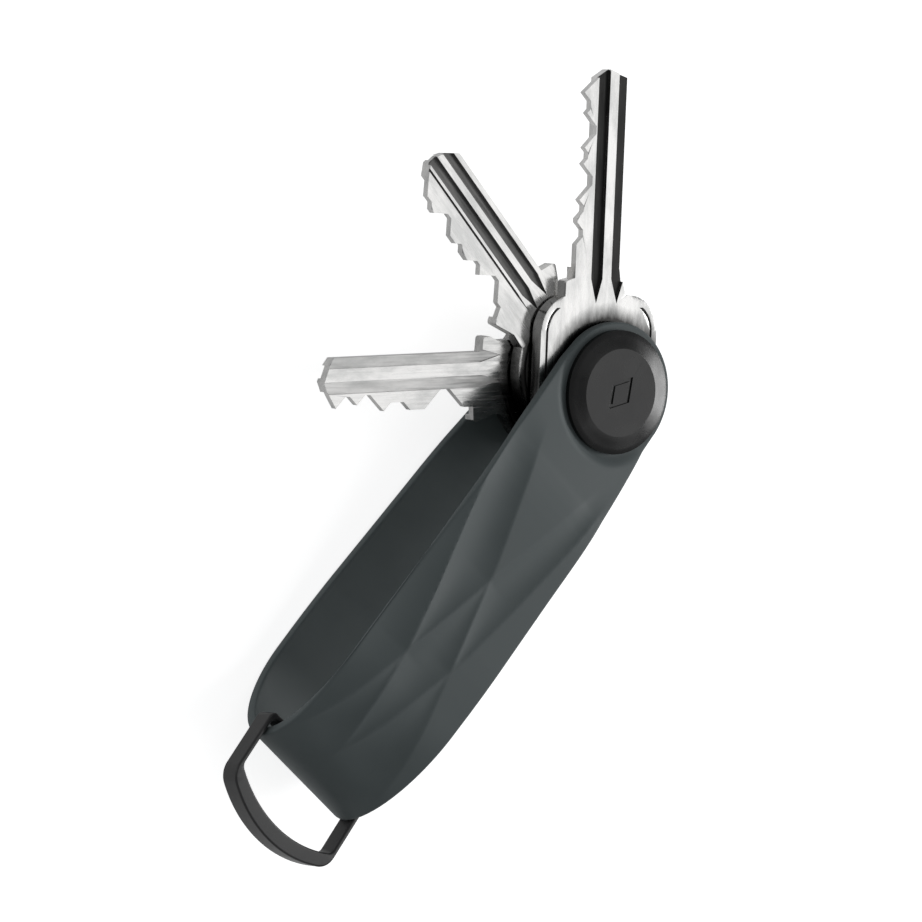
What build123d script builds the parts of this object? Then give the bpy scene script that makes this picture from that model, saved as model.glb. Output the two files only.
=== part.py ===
from build123d import *
import math
import os

# Key organiser: a moulded strap folded into a loop, with both ends clamped on one post.
# The post carries three keys, and a bent steel ring hangs in the fold.
# Millimetres and degrees. The origin is the middle of the post. X runs along the strap
# to the fold, and Z runs along the post to the plain front cap.

# strap
end_width = 20.4          # the ends are half rounds of this width, about the post
belly_width = 21.4
fold_width = 19.8
wall = 1.42
loop_reach = 73.1         # post axis to the outside of the fold
loop_depth = 18.2         # across the outside of the loop where it is deepest
pad_length = 9.2          # flat of each leg beyond the post axis
front_fold = 17.4         # quarter ellipse that closes the front leg, along the strap
rear_fold = 13.5          # the same for the rear leg, which is fuller
leg_bends = ((0.15, 0.50), (0.41, 0.76), (0.71, 0.93))    # shares of the leg's run and rise
leg_slope = 0.40          # rise of the leg as it leaves the caps
belly = (0.18, 0.42, 0.68)      # shares of the reach where the strap is widest
trim_margin = 2.0         # the plan outline runs this far past the fold

# post, caps and lock
post_d = 5.0
cap_d = 18.16
cap_flat_d = 12.88
cap_rim = 0.79            # straight edge of a cap, below its sloped shoulder
cap_shoulder = 0.70
post_seat = 0.80          # depth of the post's seat in the front cap
web = 0.30                # thin floor of the rear cap, around the post
mark_long = 6.2           # engraved diamond on the front cap
mark_wide = 4.2
mark_line = 0.55
mark_depth = 0.22
bore_d = 3.0
shank_gap = 0.10          # radial, lock bolt in the post
head_d = 8.0
head_gap = 0.10           # radial, lock head in the rear cap
head_sink = 0.06          # lock head below the rear cap's face
pin_d = 1.0
pin_length = 3.8
pin_gap = 0.12            # around the cross pin in its gallery and slots
coin_slot_w = 1.4
coin_slot_depth = 0.5
coin_slot_length = 7.0
spring_t = 0.20
spring_gap = 0.08         # spring washer to the turning head
spring_wall = 1.9

# eyelets and spacers
eyelet_d = 6.4
flange_d = 9.4
flange_t = 0.30
spacer_t = 0.30
spacer_d = 9.0

# keys
key_t = 2.0
key_side_gap = 0.04       # between a key and the spacer beside it
key_bore_gap = 0.08       # radial, key on the post
key_count = 3
cut_slope = 45.0
groove_taper = 3.6        # length of the pointed start of a milled groove
shoulder_round = 0.45     # rounding of the shoulder's corners
border_inset = 0.9        # engraved line round the bow: its distance from the rim
border_line = 0.40
border_depth = 0.16

# ring in the fold
ring_height = 3.1
arm_t = 0.75
ring_side_gap = 0.40      # ring to the strap's edge
ring_fold_gap = 0.25      # ring's bar to the inside of the fold, as it turns
eye_share = 0.95          # depth of the eye from the bar, as a share of the loop's half depth
eye_sag = 2.9             # bow of the eye's outer side
rim_w = 2.4               # width of the ring's outer bow
rim_sag = 3.4
ring_tilt = 8.0

# stack along the post, measured from its middle
key_pitch = key_t + spacer_t + 2 * key_side_gap
stack_half = (key_count - 1) / 2 * key_pitch + key_t / 2 + key_side_gap + spacer_t
pad_face = stack_half + wall
cap_face = pad_face + cap_rim + cap_shoulder
web_face = pad_face + web
head_top = cap_face - head_sink
spring_face = web_face + spring_t
head_under = spring_face + spring_gap

# fold and ring places
fold_r = loop_depth / 2
bar_x = loop_reach - wall - ring_fold_gap - ring_height / 2
eye_half = fold_width / 2 + ring_side_gap
ring_half = eye_half + arm_t
eye_corner = eye_share * fold_r

parts = {}


def disc(diameter, low, high):
    """Solid disc on the post axis between two heights."""
    return Pos(0, 0, low) * Cylinder(
        diameter / 2, high - low, align=(Align.CENTER, Align.CENTER, Align.MIN)
    )


def washer(outer, inner, low, high):
    """Flat ring on the post axis between two heights."""
    return disc(outer, low, high) - disc(inner, low, high)


def slab(points, low, high):
    """Straight-sided prism over a closed outline."""
    outline = Polyline(*points, close=True)
    return Pos(0, 0, low) * extrude(make_face(outline), high - low)


def leg_curve(inset, side):
    """One leg's face from the strap's end round to the middle of the fold."""
    fold_length = front_fold if side > 0 else rear_fold
    fold_x = loop_reach - fold_length
    run = fold_x - pad_length
    rise = fold_r - pad_face
    points = [(pad_length, side * (pad_face - inset))]
    for along, up in leg_bends:
        points.append((pad_length + along * run, side * (pad_face + up * rise - inset)))
    points.append((fold_x, side * (fold_r - inset)))
    flat = Line((-end_width, side * (pad_face - inset)), points[0])
    spread = Spline(*points, tangents=[(1, side * leg_slope), (1, 0)])
    quarter = EllipticalCenterArc(
        (fold_x, 0), fold_length - inset, fold_r - inset,
        start_angle=0 if side > 0 else -90, arc_size=90,
    )
    return flat, spread, quarter


def loop_region(inset):
    """Area inside the loop's profile, inset from its outside."""
    top = leg_curve(inset, 1)
    low = leg_curve(inset, -1)
    end = Line(low[0] @ 0, top[0] @ 0)
    return make_face(Curve() + [*top, *low, end])


def strap_plan():
    """Plan outline of the folded strap: half round at the post, slightly waisted."""
    sides = []
    for side in (1, -1):
        points = [(0, side * end_width / 2)]
        points += [(share * loop_reach, side * belly_width / 2) for share in belly]
        points.append((loop_reach, side * fold_width / 2))
        sides.append(Spline(*points, tangents=[(1, 0.06 * side), (1, -0.06 * side)]))
    nose = ThreePointArc((0, end_width / 2), (-end_width / 2, 0), (0, -end_width / 2))
    past = loop_reach + trim_margin
    tail = Polyline(sides[0] @ 1, (past, fold_width / 2), (past, -fold_width / 2), sides[1] @ 1)
    return make_face(Curve() + [nose, *sides, tail])


def make_strap():
    """Loop profile cut to the plan outline, bored for the eyelets."""
    profile = loop_region(0) - loop_region(wall)
    band = extrude(Plane.XZ * profile, belly_width, both=True)
    band = band & extrude(strap_plan(), loop_depth, both=True)
    band -= disc(eyelet_d, -loop_depth, loop_depth)
    band -= disc(flange_d, -stack_half - flange_t, stack_half + flange_t)
    return band


def make_eyelet(side):
    """Ferrule through one end of the strap, its flange let into the inner face."""
    tube = disc(eyelet_d, stack_half, pad_face)
    flange = disc(flange_d, stack_half, stack_half + flange_t)
    eyelet = tube + flange - disc(post_d, 0, cap_face)
    return eyelet if side > 0 else mirror(eyelet, Plane.XY)


def cap_blank():
    """Front cap's outer form: straight rim, sloped shoulder and flat face."""
    rim_z = pad_face + cap_rim
    profile = Polyline(
        (0, pad_face),
        (cap_d / 2, pad_face),
        (cap_d / 2, rim_z),
        (cap_flat_d / 2, cap_face),
        (0, cap_face),
        close=True,
    )
    return revolve(Plane.XZ * make_face(profile), Axis.Z)


def diamond(long, wide):
    """Outline of the cap's mark, long along X."""
    return Polyline((long / 2, 0), (0, wide / 2), (-long / 2, 0), (0, -wide / 2), close=True)


def make_front_cap():
    """Plain cap with the post's seat and an engraved diamond."""
    cap = cap_blank() - disc(post_d, pad_face, pad_face + post_seat)
    outer = make_face(diamond(mark_long, mark_wide))
    inner = make_face(diamond(mark_long - 3.2 * mark_line, mark_wide - 2.2 * mark_line))
    mark = extrude(outer - inner, mark_depth)
    return cap - Pos(0, 0, cap_face - mark_depth) * mark


def make_rear_cap():
    """Open cap: a thin floor around the post, and a recess for the lock's head."""
    cap = mirror(cap_blank(), Plane.XY)
    cap -= disc(post_d, -web_face, -pad_face)
    return cap - disc(head_d + 2 * head_gap, -cap_face, -web_face)


def make_post():
    """Tube with a bayonet: two slots from its open end to a gallery for the cross pin."""
    gallery_d = pin_length + 2 * pin_gap
    gallery_half = pin_d / 2 + pin_gap
    post = disc(post_d, -web_face, pad_face + post_seat)
    post -= disc(bore_d, -web_face, gallery_half + 1)
    post -= disc(gallery_d, -gallery_half, gallery_half)
    slot = Box(gallery_d, pin_d + 2 * pin_gap, web_face)
    return post - Pos(0, 0, -web_face / 2) * slot


def make_lock_bolt():
    """Lock: slotted head, shank in the post and a cross hole for its pin."""
    shank_d = bore_d - 2 * shank_gap
    bolt = disc(head_d, -head_top, -head_under) + disc(shank_d, -head_under, pin_d)
    slot = Box(coin_slot_length, coin_slot_w, coin_slot_depth)
    bolt -= Pos(0, 0, coin_slot_depth / 2 - head_top) * slot
    return bolt - Rot(90, 0, 0) * Cylinder(pin_d / 2, bore_d)


def make_ring():
    """Closed ring: a bar in the fold, two thin arms and a wide outer bow."""
    half_t = arm_t / 2
    rim_x = eye_corner + eye_sag + rim_w
    outer = Polyline(
        (rim_x - rim_sag, ring_half), (-half_t, ring_half), (-half_t, -ring_half),
        (rim_x - rim_sag, -ring_half),
    )
    bow = ThreePointArc(outer @ 1, (rim_x, 0), outer @ 0)
    inner = Polyline(
        (eye_corner, eye_half), (half_t, eye_half), (half_t, -eye_half),
        (eye_corner, -eye_half),
    )
    eye = ThreePointArc(inner @ 1, (eye_corner + eye_sag, 0), inner @ 0)
    plate = make_face(Curve() + [outer, bow])
    hole = make_face(Curve() + [inner, eye])
    far = plate.vertices().group_by(Axis.X)[-1]
    near = plate.vertices().group_by(Axis.X)[0]
    plate = fillet(far, 3.0)
    plate = fillet(plate.vertices().group_by(Axis.X)[0], 1.1)
    hole = fillet(hole.vertices(), 1.2)
    ring = extrude(plate - hole, ring_height / 2, both=True)
    return Pos(bar_x, 0, 0) * Rot(0, -ring_tilt, 0) * ring


def cut_prism(place, root, flat, top):
    """Cutter of one tooth cut: a flat root and two sloping flanks."""
    spread = (top - root) / math.tan(math.radians(cut_slope))
    half = flat / 2
    return [
        (place - half, root), (place + half, root),
        (place + half + spread, top), (place - half - spread, top),
    ]


def groove_outline(start, end, low, high):
    """Plan of one milled groove, pointed where the cutter ran out."""
    middle = (low + high) / 2
    return [
        (start, middle), (start + groove_taper, low), (end, low),
        (end, high), (start + groove_taper, high),
    ]


def make_key(key):
    """Key along X with its post hole at the origin, its teeth towards +Y."""
    half = key_t / 2
    spine, crest = key["spine"], key["crest"]
    bow = Pos(*key["bow_at"]) * key["bow"]
    body = Pos(0, 0, -half) * extrude(bow, key_t)
    body += slab([(key["neck"], spine), (key["neck"], crest), *key["tip"]], -half, half)
    shoulder = make_face(Polyline(*key["shoulder"], close=True))
    rounded = offset(offset(shoulder, -shoulder_round), shoulder_round)
    body += Pos(0, 0, -half) * extrude(rounded, key_t)
    for place, root, flat in key["cuts"]:
        body -= slab(cut_prism(place, root, flat, crest + 1), -key_t, key_t)
    reach = max(point[0] for point in key["tip"]) + 1
    for start, low, high, depth in key["grooves"]:
        outline = groove_outline(start, reach, low, high)
        body -= slab(outline, half - depth, key_t)
    for start, low, high, depth in key["back_grooves"]:
        outline = groove_outline(start, reach, low, high)
        body -= slab(outline, -key_t, depth - half)
    border = offset(bow, -border_inset) - offset(bow, -border_inset - border_line)
    engraved = Pos(0, 0, half - border_depth) * extrude(border, key_t)
    body -= engraved & key_land(key)
    return body - disc(post_d + 2 * key_bore_gap, -key_t, key_t)


def key_land(key):
    """Part of the bow that carries its engraved border."""
    return Box(2 * key["border_reach"], 60, 10)


round_bow = Circle(10.6)
square_bow = RectangleRounded(20.4, 21.4, 5.4)

keys = [
    dict(
        angle=-45.85, bow=round_bow, bow_at=(5.6, -1.4), spine=-6.1, crest=1.75, neck=12.0,
        tip=[(44.1, 1.75), (45.8, -1.0), (46.5, -2.75), (45.6, -5.1), (44.8, -6.1)],
        shoulder=[
            (10.0, -7.8), (16.6, -7.6), (18.0, -8.3), (19.1, -8.3), (19.3, -6.1),
            (20.9, 0.0), (20.7, 4.1), (16.6, 2.9), (10.0, 4.2),
        ],
        cuts=[(25.8, -0.97, 1.6), (34.1, 0.55, 2.2), (39.2, -0.7, 0.8), (42.6, -0.6, 0.7)],
        grooves=[(16.0, -2.75, -1.0, 0.20), (16.0, -6.5, -4.6, 0.22)],
        back_grooves=[(16.5, -1.3, 3.0, 0.90), (16.5, -5.0, -3.2, 0.60)],
        border_reach=14.8,
    ),
    dict(
        angle=-94.5, bow=round_bow, bow_at=(5.0, 0.8), spine=-3.65, crest=5.1, neck=12.0,
        tip=[(41.4, 5.1), (44.0, 2.4), (45.2, 0.9), (45.1, -0.6), (44.4, -2.0), (42.9, -3.65)],
        shoulder=[
            (10.0, -4.6), (15.3, -3.6), (17.4, -5.1), (19.6, -6.3), (20.4, -3.65),
            (21.4, 4.9), (20.9, 6.0), (20.2, 7.4), (17.8, 6.4), (16.6, 5.9), (10.0, 6.4),
        ],
        cuts=[
            (24.9, 2.9, 1.0), (28.8, 3.9, 0.8), (32.8, 4.4, 0.3), (37.3, 3.4, 0.9),
            (41.4, 4.4, 1.0),
        ],
        grooves=[
            (17.2, 1.60, 1.95, 0.30), (16.4, -0.4, 1.2, 0.60), (16.9, -2.9, -1.4, 0.60),
        ],
        back_grooves=[(16.5, 2.4, 6.5, 0.90), (16.5, -1.1, 0.4, 0.60)],
        border_reach=14.2,
    ),
    dict(
        angle=-137.4, bow=square_bow, bow_at=(3.8, 1.9), spine=-1.7, crest=6.8, neck=10.0,
        tip=[(42.9, 6.8), (45.4, 3.9), (46.7, 1.8), (46.1, 0.0), (45.6, -1.7)],
        shoulder=[
            (9.0, -3.6), (14.2, -2.6), (16.2, -2.0), (18.0, -1.7), (20.5, 6.8),
            (16.5, 6.8), (16.1, 8.4), (9.0, 8.5),
        ],
        cuts=[
            (22.95, 5.72, 1.0), (26.55, 5.75, 0.8), (30.6, 4.35, 1.2), (34.2, 5.35, 0.9),
            (37.9, 3.97, 1.1), (41.45, 5.2, 1.1),
        ],
        grooves=[(12.8, 1.75, 3.85, 0.60), (12.8, -2.2, 0.15, 0.50)],
        back_grooves=[(16.5, 3.8, 8.0, 0.90), (16.5, 0.3, 1.6, 0.70)],
        border_reach=12.2,
    ),
]

parts["strap"] = make_strap()
parts["front_eyelet"] = make_eyelet(1)
parts["rear_eyelet"] = make_eyelet(-1)
parts["front_cap"] = make_front_cap()
parts["rear_cap"] = make_rear_cap()
parts["key_post"] = make_post()
parts["lock_bolt"] = make_lock_bolt()
parts["lock_cross_pin"] = Rot(90, 0, 0) * Cylinder(pin_d / 2, pin_length)
spring_bore = head_d - 0.4 - 2 * spring_wall
parts["spring_washer"] = washer(head_d - 0.4, spring_bore, -spring_face, -web_face)

# spacers: one against each end of the stack, and one between each two keys
for number in range(key_count + 1):
    middle = (number - key_count / 2) * key_pitch
    if number == 0:
        low = -stack_half
    elif number == key_count:
        low = stack_half - spacer_t
    else:
        low = middle - spacer_t / 2
    parts[f"spacer_{number + 1}"] = washer(spacer_d, post_d, low, low + spacer_t)

for number, key in enumerate(keys):
    level = (number - (key_count - 1) / 2) * key_pitch
    parts[f"key_{number + 1}"] = Pos(0, 0, level) * Rot(0, 0, key["angle"]) * make_key(key)

parts["strap_ring"] = make_ring()

os.makedirs("parts", exist_ok=True)
for name, solid in parts.items():
    export_step(solid, f"parts/{name}.step")
    box = solid.bounding_box()
    print(name, round(solid.volume, 2), [round(v, 2) for v in (*box.min, *box.max)])
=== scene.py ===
import math
import bpy
import bmesh
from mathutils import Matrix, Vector


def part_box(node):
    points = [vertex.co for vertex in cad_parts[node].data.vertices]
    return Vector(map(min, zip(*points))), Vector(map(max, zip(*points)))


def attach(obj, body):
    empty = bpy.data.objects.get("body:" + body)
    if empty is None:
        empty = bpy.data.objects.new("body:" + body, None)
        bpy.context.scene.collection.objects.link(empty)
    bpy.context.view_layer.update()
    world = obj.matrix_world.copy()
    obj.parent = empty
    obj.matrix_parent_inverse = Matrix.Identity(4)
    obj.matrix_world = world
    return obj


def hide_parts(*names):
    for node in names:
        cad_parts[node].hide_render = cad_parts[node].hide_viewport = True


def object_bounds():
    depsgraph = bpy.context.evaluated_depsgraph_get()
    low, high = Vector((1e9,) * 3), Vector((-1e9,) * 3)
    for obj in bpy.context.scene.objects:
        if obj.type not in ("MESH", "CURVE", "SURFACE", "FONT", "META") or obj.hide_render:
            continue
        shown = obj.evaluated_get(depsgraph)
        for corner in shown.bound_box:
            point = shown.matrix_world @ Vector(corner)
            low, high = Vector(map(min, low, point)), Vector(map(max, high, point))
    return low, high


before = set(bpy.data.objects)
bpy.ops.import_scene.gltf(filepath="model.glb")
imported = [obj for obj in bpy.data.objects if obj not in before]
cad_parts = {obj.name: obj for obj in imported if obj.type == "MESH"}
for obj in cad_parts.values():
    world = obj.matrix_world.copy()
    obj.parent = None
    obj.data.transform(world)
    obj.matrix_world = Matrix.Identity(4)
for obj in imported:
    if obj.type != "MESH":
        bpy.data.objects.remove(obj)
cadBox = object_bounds()
scene = bpy.context.scene
mm = 0.001
mergeGap = 0.002 * mm


# small helpers

def clearPick():
    bpy.ops.object.select_all(action="DESELECT")


def pick(piece):
    clearPick()
    piece.select_set(True)
    bpy.context.view_layer.objects.active = piece


def useModifier(piece, kind, **settings):
    pick(piece)
    mod = piece.modifiers.new(kind.title(), kind)
    for name, value in settings.items():
        setattr(mod, name, value)
    bpy.ops.object.modifier_apply(modifier=mod.name)


def smoothByAngle(piece, degrees):
    pick(piece)
    bpy.ops.object.shade_smooth_by_angle(angle=math.radians(degrees))


def wear(piece, *mats):
    piece.data.materials.clear()
    for mat in mats:
        piece.data.materials.append(mat)


def finishPiece(piece, body, node):
    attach(piece, body)
    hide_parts(node)


def ease(low, high, value):  # 0 below low, 1 above high, smooth between
    t = min(max((value - low) / (high - low), 0.0), 1.0)
    return t * t * (3 - 2 * t)


# materials

def newMaterial(name, **sockets):
    mat = bpy.data.materials.new(name)
    mat.use_nodes = True
    nodes, links = mat.node_tree.nodes, mat.node_tree.links
    shader = nodes["Principled BSDF"]
    for socket, value in sockets.items():
        shader.inputs[socket.replace("_", " ")].default_value = value
    return mat, nodes, links, shader


def noiseOn(nodes, links, scale, detail, long=(1, 1, 1), turn=0.0, rough=0.5):
    place = nodes.new("ShaderNodeTexCoord")
    mapping = nodes.new("ShaderNodeMapping")
    mapping.vector_type = "TEXTURE"
    mapping.inputs["Scale"].default_value = long
    mapping.inputs["Rotation"].default_value = (0, 0, turn)
    noise = nodes.new("ShaderNodeTexNoise")
    noise.inputs["Scale"].default_value = scale
    noise.inputs["Detail"].default_value = detail
    noise.inputs["Roughness"].default_value = rough
    links.new(place.outputs["Object"], mapping.inputs["Vector"])
    links.new(mapping.outputs["Vector"], noise.inputs["Vector"])
    return noise.outputs["Fac"]


def spread(nodes, links, source, low, high, start=0.35, end=0.65):
    span = nodes.new("ShaderNodeMapRange")
    span.inputs["From Min"].default_value = start
    span.inputs["From Max"].default_value = end
    span.inputs["To Min"].default_value = low
    span.inputs["To Max"].default_value = high
    links.new(source, span.inputs["Value"])
    return span.outputs["Result"]


def tint(nodes, links, source, darker, lighter, start=0.35, end=0.65):
    ramp = nodes.new("ShaderNodeValToRGB")
    ramp.color_ramp.elements[0].position = start
    ramp.color_ramp.elements[0].color = (*darker, 1)
    ramp.color_ramp.elements[1].position = end
    ramp.color_ramp.elements[1].color = (*lighter, 1)
    links.new(source, ramp.inputs["Fac"])
    return ramp.outputs["Color"]


def bumpFrom(nodes, links, source, strength, depth, below=None):
    bump = nodes.new("ShaderNodeBump")
    bump.inputs["Strength"].default_value = strength
    bump.inputs["Distance"].default_value = depth
    links.new(source, bump.inputs["Height"])
    if below is not None:
        links.new(below, bump.inputs["Normal"])
    return bump.outputs["Normal"]


def mouldedElastomer():
    look = {"dark": (0.086, 0.105, 0.107), "light": (0.100, 0.120, 0.122),
            "grain": 5200, "depth": 0.00002}
    mat, nodes, links, shader = newMaterial(
        "mouldedElastomer", Specular_IOR_Level=0.32, Sheen_Weight=0.12, Sheen_Roughness=0.5
    )
    broad = noiseOn(nodes, links, 90, 3)
    links.new(tint(nodes, links, broad, look["dark"], look["light"]), shader.inputs["Base Color"])
    links.new(spread(nodes, links, broad, 0.50, 0.60), shader.inputs["Roughness"])
    grain = noiseOn(nodes, links, look["grain"], 2)
    links.new(bumpFrom(nodes, links, grain, 0.25, look["depth"]), shader.inputs["Normal"])
    return mat


def brushedNickel(name, turn, light=0.80, paintedDarkReflection=(9, 13), rough=0.17):
    mat, nodes, links, shader = newMaterial(name, Metallic=1.0)
    streak = noiseOn(nodes, links, 3200, 3, (22, 1, 1), turn)  # grain runs the way the key points
    cloud = noiseOn(nodes, links, 420, 5, (3, 1, 1), turn, 0.62)
    plate = tint(nodes, links, cloud, (light * 0.74, light * 0.74, light * 0.73),
                 (light, light * 0.99, light * 0.975), 0.36, 0.60)
    place = nodes.new("ShaderNodeTexCoord")  # painted dark reflection round the post
    flat = nodes.new("ShaderNodeVectorMath")
    flat.operation = "MULTIPLY"
    flat.inputs[1].default_value = (1, 1, 0)
    links.new(place.outputs["Object"], flat.inputs[0])
    away = nodes.new("ShaderNodeVectorMath")
    away.operation = "LENGTH"
    links.new(flat.outputs["Vector"], away.inputs[0])
    patchy = nodes.new("ShaderNodeMath")
    patchy.operation = "MULTIPLY_ADD"
    patchy.inputs[1].default_value = 0.0025
    links.new(cloud, patchy.inputs[0])
    links.new(away.outputs["Value"], patchy.inputs[2])
    # inside these radii the plate is painted near black (colour A below): a painted dark
    # reflection, its edge wobbled a little by the cloud noise
    outsidePaintedDark = spread(nodes, links, patchy.outputs["Value"], 0.03, 1,
                   (paintedDarkReflection[0] + 1.2) * mm, (paintedDarkReflection[1] + 1.2) * mm)
    mix = nodes.new("ShaderNodeMix")
    mix.data_type = "RGBA"
    mix.inputs["A"].default_value = (0.035, 0.034, 0.033, 1)
    links.new(outsidePaintedDark, mix.inputs["Factor"])
    links.new(plate, mix.inputs["B"])
    links.new(mix.outputs["Result"], shader.inputs["Base Color"])
    links.new(spread(nodes, links, streak, rough - 0.05, rough + 0.14), shader.inputs["Roughness"])
    nicks = noiseOn(nodes, links, 1500, 2, (2.5, 1, 1), turn + 0.3)
    low = bumpFrom(nodes, links, spread(nodes, links, nicks, 0, 1, 0.30, 0.36), 0.10, 0.00001)
    links.new(bumpFrom(nodes, links, streak, 0.14, 0.000005, low), shader.inputs["Normal"])
    return mat


def satinBlack(name, shade, rough):
    mat, nodes, links, shader = newMaterial(name, Specular_IOR_Level=0.5)
    cloud = noiseOn(nodes, links, 220, 4)
    links.new(
        tint(nodes, links, cloud, (shade * 0.85, shade * 0.85, shade * 0.87),
             (shade * 1.1, shade * 1.1, shade * 1.1)),
        shader.inputs["Base Color"],
    )
    links.new(spread(nodes, links, cloud, rough - 0.05, rough + 0.06), shader.inputs["Roughness"])
    grain = noiseOn(nodes, links, 6000, 2)
    links.new(bumpFrom(nodes, links, grain, 0.18, 0.000012), shader.inputs["Normal"])
    return mat


def turnedSteel():
    mat, nodes, links, shader = newMaterial("turnedSteel", Metallic=1.0)
    cloud = noiseOn(nodes, links, 900, 3, (1, 1, 0.1))
    links.new(tint(nodes, links, cloud, (0.42, 0.42, 0.41), (0.58, 0.57, 0.56)),
              shader.inputs["Base Color"])
    links.new(spread(nodes, links, cloud, 0.24, 0.38), shader.inputs["Roughness"])
    return mat


def studioFloor():  # pale, and lit from within only where it is looked at directly
    mat, nodes, links, shader = newMaterial("studioFloor", Roughness=0.9, Specular_IOR_Level=0.1)
    shader.inputs["Base Color"].default_value = (0.80, 0.80, 0.80, 1)
    shader.inputs["Emission Color"].default_value = (1, 1, 1, 1)
    sight = nodes.new("ShaderNodeLightPath")
    links.new(spread(nodes, links, sight.outputs["Is Camera Ray"], 0.22, 0.80, 0, 1),
              shader.inputs["Emission Strength"])
    return mat


# camera, lights and floor

view = {"place": (0.1819, -0.2545, 0.3908), "turn": (-7.27, -36.04, 135.27), "lens": 132.8}
bpy.ops.object.camera_add(
    location=view["place"], rotation=[math.radians(angle) for angle in view["turn"]]
)
camera = bpy.context.object
camera.name = "studioCamera"
camera.data.lens = view["lens"]
camera.data.clip_start = 0.01
scene.camera = camera
scene.view_settings.view_transform = "Standard"

lamps = {
    "overSoftbox": {"toward": (-0.36, 0.52, 0.78), "away": 0.60, "size": 0.42, "watts": 0.52},
    "grazingBox": {"toward": (-0.62, 0.70, 0.34), "away": 0.55, "size": 0.22, "watts": 1.00},
    "nearFill": {"toward": (0.20, -0.90, 0.38), "away": 0.70, "size": 0.30, "watts": 0.38},
}
aim = Vector((0.030, -0.010, 0.0))
for name, lamp in lamps.items():
    toward = Vector(lamp["toward"]).normalized()
    bpy.ops.object.light_add(type="AREA", location=aim + toward * lamp["away"])
    light = bpy.context.object
    light.name = name
    light.data.shape = "SQUARE"
    light.data.size = lamp["size"]
    light.data.energy = lamp["watts"]
    light.rotation_euler = toward.to_track_quat("Z", "Y").to_euler()

surround = {"sky": (0.97, 0.985, 1, 1), "strength": 0.24, "floorSize": 6, "floorGap": 0.4}
world = bpy.data.worlds.new("studioWorld")
scene.world = world
world.use_nodes = True
backdrop = world.node_tree.nodes["Background"]
backdrop.inputs["Color"].default_value = surround["sky"]
backdrop.inputs["Strength"].default_value = surround["strength"]

floorHeight = cadBox[0][2] - surround["floorGap"] * mm
bpy.ops.mesh.primitive_plane_add(size=surround["floorSize"], location=(aim.x, 0, floorHeight))
floor = bpy.context.object
floor.name = "studioFloor"
wear(floor, studioFloor())
print("stage set")


# strap: one strip folded round the loop, with scooped facets pressed into its outside

strap = {  # millimetres
    "wall": 1.42, "noseR": 10.2, "hole": 3.2, "rim": 0.26,
    "foldX": {1: 55.7, -1: 59.6},  # where each leg meets its rounded fold
    "flatX": 8,  # the legs are flat under the caps up to here
    "columns": 66, "meanHalf": 10.4, "step": 0.42, "noseTurn": 2.5, "foldTurn": 2,  # mesh rows
    "slope": 0.36, "fadeIn": (11, 20), "fadeOut": (65, 71),  # pressed facets
    "edgeGap": 14, "edgeLeast": 0.3, "rimRoom": 0.6,  # facets beside the rims
    "collarX": 2.6, "collarZ": 5.10, "collarRise": 0.236, "collarBend": 0.816,
    "collarR": (9.3, 11.0), "collarOut": (15, 20),  # where the collar starts and fades out
}
creases = {  # pressed lines on one leg, millimetres from the post and across the strap
    "upperDown": [(12, 9.9), (20.8, 8.9), (35.8, 6.6), (46.7, 4.4), (58.3, 1.3),
                  (65.8, -0.9), (72, -2.9)],
    "lowerDown": [(11, 7.6), (20.8, 4.6), (33.3, 0.8), (41.7, -1.4), (51.7, -4.2),
                  (61.7, -6.8), (72, -10.2)],
    "upperUp": [(12, -6.9), (22.5, -3.8), (32.5, -0.5), (41.7, 1.8), (50, 3.9),
                (58.3, 6.1), (72, 9.6)],
    "lowerUp": [(12, -13.5), (30.8, -9.3), (41.7, -6.5), (51.7, -4.3), (61.7, -3.0), (72, -0.9)],
}


def alongCrease(name, x):
    points = creases[name]
    for (x0, y0), (x1, y1) in zip(points, points[1:]):
        if x <= x1:
            return y0 + (y1 - y0) * (x - x0) / (x1 - x0)
    return points[-1][1]


def scoopDepth(x, y):  # how far the outside is pressed in, millimetres
    fade = ease(*strap["fadeIn"], x) * (1 - ease(*strap["fadeOut"], x))
    if fade <= 0:
        return 0.0
    lines = {name: alongCrease(name, x) for name in creases}
    above = [v for v in lines.values() if v > y]
    below = [v for v in lines.values() if v <= y]
    if not above:
        return 0.0
    top = min(above)
    if not below:
        gap = top - y
        return fade * strap["slope"] * gap * max(1 - gap / strap["edgeGap"], strap["edgeLeast"])
    low = max(below)
    if top == lines["lowerDown"] and low == lines["upperUp"]:
        return 0.0
    return fade * strap["slope"] * (top - y) * (y - low) / max(top - low, 0.2)


def strapStations():  # points along the outside of the loop, with the strap's half width at each
    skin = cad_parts["strap"]
    low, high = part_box("strap")
    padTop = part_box("front_eyelet")[1][2] / mm
    reach, depth = high[0] / mm, high[2] / mm
    noseR, inset = strap["noseR"], strap["wall"] / 2

    def halfWidth(x, z):
        return skin.ray_cast(Vector((x, 30, z)) * mm, Vector((0, -1, 0)))[1].y / mm

    def leg(side):
        stations = []
        for turn in range(0, round(90 / strap["noseTurn"]) + 1):
            x = -noseR * math.cos(math.radians(turn * strap["noseTurn"]))
            stations.append((x, side * padTop, math.sqrt(max(noseR ** 2 - x ** 2, 0))))
        foldX = strap["foldX"][side]
        count = round(foldX / strap["step"])
        for number in range(1, count + 1):
            x = foldX * number / count
            z = side * padTop
            if x > strap["flatX"]:
                z = skin.ray_cast(Vector((x, 0, side * 30)) * mm, Vector((0, 0, -side)))[1].z / mm
            stations.append((x, z, halfWidth(x, z - side * inset)))
        for number in range(1, round(90 / strap["foldTurn"])):
            angle = math.radians(90 - number * strap["foldTurn"])
            x, z = math.cos(angle), math.sin(angle) * side
            half = halfWidth(foldX + (reach - foldX - inset) * x, (depth - inset) * z)
            stations.append((foldX + (reach - foldX) * x, depth * z, half))
        return stations

    tip = (reach, 0, halfWidth(reach - inset, 0))
    return leg(1) + [tip] + list(reversed(leg(-1)))


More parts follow.
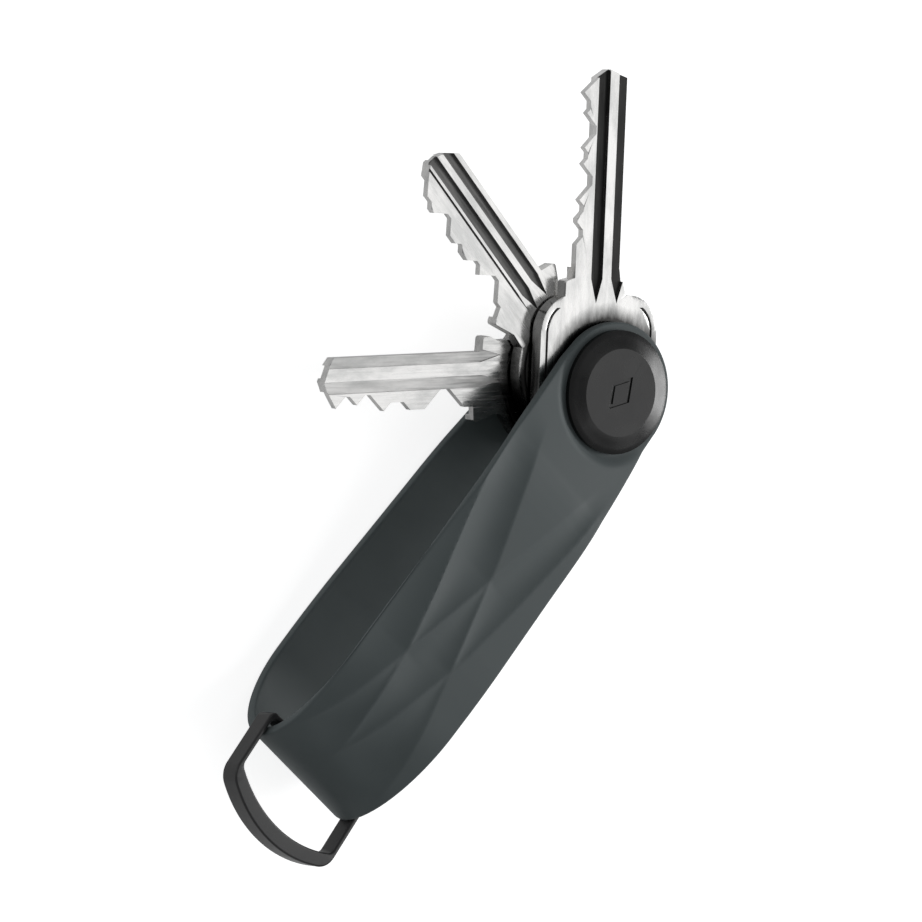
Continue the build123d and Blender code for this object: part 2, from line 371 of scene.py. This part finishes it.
def acrossStrap():  # shares of the half width, with close rows at the rounded rims
    edge = [1, 0.997, 0.992, 0.984, 0.974]
    inner = [edge[-1] * (1 - 2 * n / strap["columns"]) for n in range(1, strap["columns"])]
    return [-v for v in edge] + [-v for v in inner] + list(reversed(edge))


def rimDrop(x, y, half):  # rounding of the rim
    room = strap["noseR"] - math.hypot(x, y) if x < 0 else half - abs(y)
    r = strap["rim"]
    return r - math.sqrt(r * r - (r - room) ** 2) if 0 <= room < r else (r if room < 0 else 0.0)


def collarLift(x, y, z):  # the strap stands up a little round the caps as it leaves them
    start = strap["collarX"]
    if x <= start:
        return 0.0
    height = strap["collarZ"] + strap["collarRise"] * (x - start) ** strap["collarBend"]
    lift = max(height - abs(z), 0) * ease(*strap["collarR"], math.hypot(x, y))
    return lift * (1 - ease(*strap["collarOut"], x))


def makeStrap():
    stations, shares = strapStations(), acrossStrap()
    rows, across = len(stations), len(shares)
    clearPick()
    bpy.ops.mesh.primitive_grid_add(x_subdivisions=rows - 1, y_subdivisions=across - 1, size=2)
    piece = bpy.context.object
    piece.name = "strapSkin"
    outside = []
    for vertex in piece.data.vertices:
        i = round((vertex.co.x + 1) / 2 * (rows - 1))
        j = round((vertex.co.y + 1) / 2 * (across - 1))
        x, z, half = stations[i]
        outside.append((i, x, z, half, shares[j] * half))
        vertex.co = Vector((x, shares[j] * half, z)) * mm
    spacing = 2 * strap["meanHalf"] / strap["columns"]
    for vertex, (i, x, z, half, y) in zip(piece.data.vertices, outside):
        side = 1 if i < rows / 2 else -1
        for name in creases:
            crease = alongCrease(name, x) * side
            inside = x > strap["fadeIn"][0] and abs(y) < half - strap["rimRoom"]
            if inside and abs(crease - y) < spacing / 2:  # the nearest row follows the crease
                vertex.co.y = crease * mm
    pick(piece)
    mesh = bmesh.new()
    mesh.from_mesh(piece.data)
    frontFaces = [face for face in mesh.faces if face.calc_center_median().z > 4 * mm]
    if sum(face.normal.z for face in frontFaces) < 0:
        bmesh.ops.reverse_faces(mesh, faces=mesh.faces)
    place = mesh.verts.layers.int.new("row")
    mesh.verts.ensure_lookup_table()
    for vertex, facts in zip(mesh.verts, outside):
        vertex[place] = facts[0]
    hole = strap["hole"] * mm
    gone = [face for face in mesh.faces if face.calc_center_median().xy.length < hole]
    bmesh.ops.delete(mesh, geom=gone, context="FACES")
    for vertex in mesh.verts:
        if vertex.is_boundary and vertex.co.xy.length < hole + 0.5 * mm:
            vertex.co.xy = vertex.co.xy.normalized() * hole
    bmesh.ops.remove_doubles(mesh, verts=mesh.verts, dist=mergeGap)
    mesh.to_mesh(piece.data)
    mesh.free()
    outer = len(piece.data.vertices)
    useModifier(piece, "SOLIDIFY", thickness=strap["wall"] * mm, offset=-1, use_even_offset=False)
    rowOf = [v.value for v in piece.data.attributes["row"].data]
    normals = []
    for i in range(rows):
        (x0, z0, _), (x1, z1, _) = stations[max(i - 1, 0)], stations[min(i + 1, rows - 1)]
        normals.append(Vector((z0 - z1, 0, x1 - x0)).normalized())
    for number, vertex in enumerate(piece.data.vertices):
        i = rowOf[number]
        x, z, half = stations[i]
        y = vertex.co.y / mm
        side = 1 if i < rows / 2 else -1
        drop = rimDrop(x, y, half)
        if number < outer:
            vertex.co -= normals[i] * (drop + scoopDepth(x, y * side)) * mm
        else:
            vertex.co += normals[i] * drop * mm
        vertex.co.z += side * collarLift(x, y, z) * mm
    piece.data.attributes.remove(piece.data.attributes["row"])
    smoothByAngle(piece, 38)
    wear(piece, mouldedElastomer())
    finishPiece(piece, "holder", "strap")


makeStrap()
print("strap folded and pressed")


# metal pieces keep their CAD shape, with small rounds broken onto their edges

def roundedCopy(node, name, width, segments=2, angle=28):
    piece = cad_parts[node].copy()
    piece.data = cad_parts[node].data.copy()
    piece.name = name
    piece.parent = None
    scene.collection.objects.link(piece)
    pick(piece)
    bpy.ops.object.mode_set(mode="EDIT")
    bpy.ops.mesh.select_all(action="SELECT")
    bpy.ops.mesh.remove_doubles(threshold=mergeGap)
    bpy.ops.object.mode_set(mode="OBJECT")
    useModifier(piece, "BEVEL", width=width * mm, segments=segments, limit_method="ANGLE",
                angle_limit=math.radians(angle), harden_normals=False, miter_outer="MITER_ARC")
    smoothByAngle(piece, 30)
    useModifier(piece, "WEIGHTED_NORMAL", mode="FACE_AREA", weight=100, keep_sharp=True)
    return piece


grooveDepth = (0.15, 1.5)  # a face this far below the key's top lies in a groove
keys = {  # way each key points, brightness of its faces and of its grooves (groove floors darker by painted shade), and the radii of the painted dark reflection round the post
    "key_1": {"turn": -45.85, "light": 0.72, "groove": 0.60, "paintedDarkReflection": (14.5, 17.5)},
    "key_2": {"turn": -94.5, "light": 0.76, "groove": 0.15, "paintedDarkReflection": (14.3, 16.4)},
    "key_3": {"turn": -137.4, "light": 0.78, "groove": 0.04, "paintedDarkReflection": (10.4, 13.0)},
}
for node, key in keys.items():
    turn = math.radians(key["turn"])
    blade = roundedCopy(node, node.replace("_", "Blade"), 0.08)
    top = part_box(node)[1][2]
    wear(blade, brushedNickel(node + "Nickel", turn, key["light"], key["paintedDarkReflection"]),
         brushedNickel(node + "PaintedGrooveShade", turn, key["groove"], key["paintedDarkReflection"], 0.34))
    # faces on the groove floors take the second, darker material: painted shade in the grooves,
    # with a rougher finish
    for face in blade.data.polygons:
        sunk = (top - face.center.z) / mm
        if face.normal.z > 0.9 and grooveDepth[0] < sunk < grooveDepth[1]:
            face.material_index = 1
    finishPiece(blade, node, node)
print("keys cut")

capBlack = satinBlack("capBlack", 0.004, 0.26)
ringBlack = satinBlack("ringBlack", 0.032, 0.34)
lockBlack = satinBlack("lockBlack", 0.008, 0.38)
for node, name, width, body, slotName, finish in (
    ("front_cap", "frontCap", 0.10, "holder", "black_cap", capBlack),
    ("rear_cap", "rearCap", 0.10, "holder", "black_cap", capBlack),
    ("lock_bolt", "lockBolt", 0.07, "lock", "black_lock", lockBlack),
):
    cap = roundedCopy(node, name, width, 3, 12)
    wear(cap, finish)
    finishPiece(cap, body, node)

ring = roundedCopy("strap_ring", "strapRing", 0.30, 4, 30)
wear(ring, ringBlack)
finishPiece(ring, "strap_ring", "strap_ring")
print("caps, lock and ring finished")

steel = turnedSteel()
washerBlack = satinBlack("washerBlack", 0.02, 0.3)
for node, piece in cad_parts.items():
    if node in ("front_eyelet", "rear_eyelet", "key_post", "lock_cross_pin", "spring_washer"):
        wear(piece, steel)
    if node.startswith("spacer_"):
        wear(piece, washerBlack)
print("inner pieces finished")
